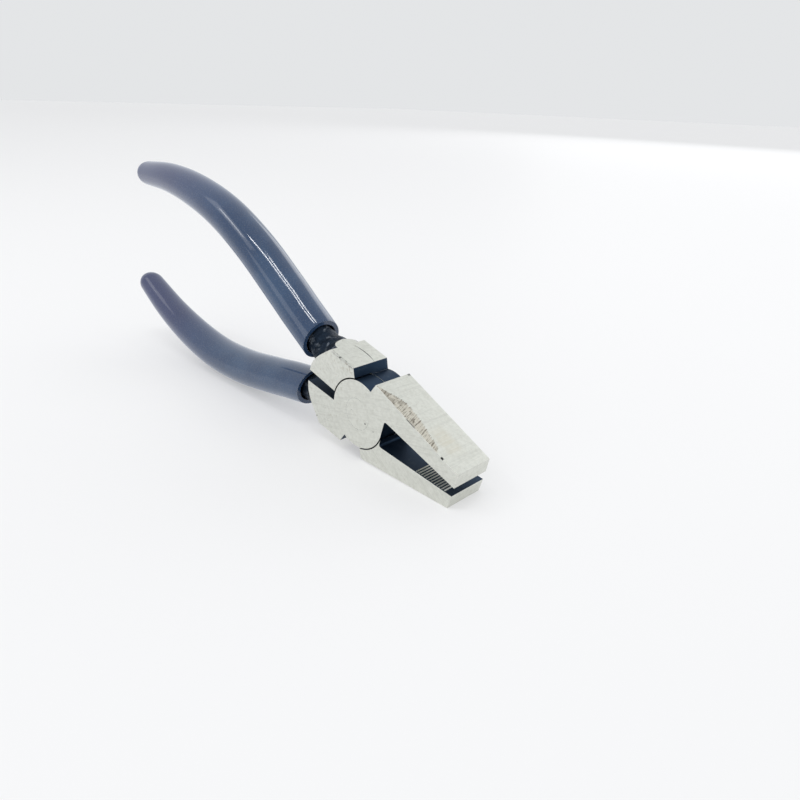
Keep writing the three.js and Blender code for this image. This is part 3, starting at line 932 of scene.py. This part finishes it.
for lever, nodeName in (("front", "lower_grip"), ("rear", "upper_grip")):
    mesh, opening, way, normal, length = gripPath(lever)
    item = newObject(nodeName + "_path", mesh)
    nodes = item.modifiers.new("sleeve", "NODES")
    nodes.node_group = sleeve
    values = {"Sides": grip["sides"], "Sleeve length": length, "Depth ratio": grip["depthRatio"],
              "Cap": grip["rounding"] / 1000, "Wall": grip["wall"] / 1000, "Opening point": opening,
              "Opening normal": normal, "Start way": way, "Squaring": grip["squaring"] / 1000,
              "Waviness": grip["waviness"] / 1000, "Material": vinyls[lever]}
    for i, width in enumerate(grip["halfWidths"]):
        values["Width %d" % (i + 1)] = width / 1000
    setInputs(nodes, values)
    item = baked(item, nodeName + "_skin")
    finishRim(item)
    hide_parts(nodeName)
    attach(item, leverOf[lever])
print("grips made")

# Jaw teeth: fine ridges across the gripping faces
teeth = {"first": 24.6, "last": 34.6, "pitch": 0.9, "height": 0.26, "width": 12.2,
         "smallest": 0.88, "largest": 1.06}


def teethTree():
    tree, given, out = newNodesTree("jawTeeth", [
        ("Geometry", "geometry"), ("Count", "int"), ("Start", "vector"), ("Step", "vector"), ("Turn", "vector"),
        ("Size", "vector"), ("Seed", "int"), ("Material", "material")])
    line = addNode(tree, "GeometryNodeMeshLine", {"mode": "OFFSET"}, {
        "Count": given["Count"], "Start Location": given["Start"], "Offset": given["Step"]})
    bar = addNode(tree, "GeometryNodeMeshCube", inputs={"Size": given["Size"]})
    least, greatest = ((teeth[key], 1.0, teeth[key]) for key in ("smallest", "largest"))
    spread = addNode(tree, "FunctionNodeRandomValue", {"data_type": "FLOAT_VECTOR"}, {
        0: least, 1: greatest, "Seed": given["Seed"]})
    turnBy = addNode(tree, "FunctionNodeEulerToRotation", inputs={0: given["Turn"]})
    bars = addNode(tree, "GeometryNodeInstanceOnPoints", inputs={
        "Points": line.outputs[0], "Instance": bar.outputs[0], "Rotation": turnBy.outputs[0],
        "Scale": spread.outputs[0]})
    tree.links.new(painted(tree, bars.outputs[0], given["Material"]), out[0])
    return tree


def toothPlace(lever, x):  # on the jaw's gripping face, in the row frame
    slope = math.tan(math.radians(jaw["relief"]))
    return leverMatrix(lever) @ Vector((x, 0, (jaw["reach"] - x) * slope))


ridges = teethTree()
for lever, name, seed, facing in (("front", "upper_jaw_teeth", 3, 1), ("rear", "lower_jaw_teeth", 8, -1)):
    item = newObject(name + "_line", bpy.data.meshes.new(name))
    nodes = item.modifiers.new("teeth", "NODES")
    nodes.node_group = ridges
    count = int((teeth["last"] - teeth["first"]) / teeth["pitch"]) + 1
    start = toothPlace(lever, teeth["first"])
    side = teeth["height"] * math.sqrt(2) / 1000
    turn = leverTurn(lever) + math.radians(45 + jaw["relief"] * facing)    # each bar stands on an edge
    setInputs(nodes, {
        "Count": count, "Start": start, "Step": toothPlace(lever, teeth["first"] + teeth["pitch"]) - start,
        "Turn": (0.0, turn, 0.0), "Size": (side, teeth["width"] / 1000, side), "Seed": seed,
        "Material": finishes[lever][finishIndex["ground"]]})
    item = baked(item, name)
    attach(item, leverOf[lever])
print("teeth made")

# Camera and stage
view = {
    "stand": (0.1238, -0.1157, 0.0802),   # from the pivot
    "right": (0.7036, 0.7099, 0.0317), "up": (-0.3159, 0.2726, 0.9088),
    "lens": 29.459, "sensor": 36, "near": 0.005,
}
camera = bpy.data.objects.new("camera", bpy.data.cameras.new("camera"))
scene.collection.objects.link(camera)
right = Vector(view["right"]).normalized()
up = (Vector(view["up"]) - right * right.dot(Vector(view["up"]))).normalized()
camera.matrix_world = Matrix.Translation(pivotAt + Vector(view["stand"])) @ Matrix(
    (right, up, right.cross(up))).transposed().to_4x4()
camera.data.sensor_width = view["sensor"]
camera.data.lens = view["lens"]
camera.data.clip_start = view["near"]
scene.camera = camera

studio = {                   # places are metres from the pivot
    "floor": (0.50, 0.50, 0.505), "floorHalf": 6, "floorRoughness": 0.55, "floorGlow": 0.37,
    "sky": (0.97, 0.985, 1.0), "skyStrength": 0.80,
    "tubes": (((-0.24, -0.35), (0.20, -0.16)), ((-0.02, -0.10), (0.22, 0.03))),       # overhead
    "tubeWidth": 0.034, "tubeHeight": 1.0, "tubeGlow": 75.0,
    "panels": (((-0.42, -0.46, 0.68), (0.42, 0.26), 3.0), ((-0.42, -0.46, 0.68), (0.30, 0.15), 4.0),
               ((-0.40, -0.46, 0.68), (0.20, 0.07), 13.0), ((-0.1, 1.9, 0.75), (2.4, 1.0), 4.0),
               ((0.2, -1.7, 0.55), (2.4, 1.0), 2.6)),
}

bm = bmesh.new()
bmesh.ops.create_grid(bm, x_segments=1, y_segments=1, size=studio["floorHalf"])
floor = newObject("floor", newMesh("floor", bm))
floorFinish, _, floorShader = newFinish("floor_paper")
floorShader.inputs["Base Color"].default_value = (*studio["floor"], 1)
floorShader.inputs["Roughness"].default_value = studio["floorRoughness"]
floorShader.inputs["Emission Color"].default_value = (1, 1, 1, 1)
floorShader.inputs["Emission Strength"].default_value = studio["floorGlow"]
floorShader.inputs["Specular IOR Level"].default_value = 0.1
floor.data.materials.append(floorFinish)


def areaLight(name, matrix, size, glow):  # glow is power for each square metre
    lamp = bpy.data.lights.new(name, "AREA")
    lamp.shape, lamp.size, lamp.size_y = "RECTANGLE", size[0], size[1]
    lamp.energy = glow * size[0] * size[1]
    item = bpy.data.objects.new(name, lamp)
    scene.collection.objects.link(item)
    item.matrix_world = matrix


for i, ends in enumerate(studio["tubes"]):
    a, b = (pivotAt + Vector((*end, studio["tubeHeight"])) for end in ends)
    run = b - a
    areaLight("tube%d" % i, Matrix.Translation((a + b) / 2) @ Matrix.Rotation(math.atan2(run.y, run.x), 4, "Z"),
              (run.length, studio["tubeWidth"]), studio["tubeGlow"])
for i, (place, size, glow) in enumerate(studio["panels"]):
    towards = (-Vector(place)).to_track_quat("-Z", "Y").to_matrix().to_4x4()
    areaLight("panel%d" % i, Matrix.Translation(pivotAt + Vector(place)) @ towards, size, glow)

world = bpy.data.worlds.new("studio")
scene.world = world
world.use_nodes = True
world.node_tree.nodes["Background"].inputs[0].default_value = (*studio["sky"], 1)
world.node_tree.nodes["Background"].inputs[1].default_value = studio["skyStrength"]
scene.view_settings.view_transform = "Standard"
print("camera and studio made")
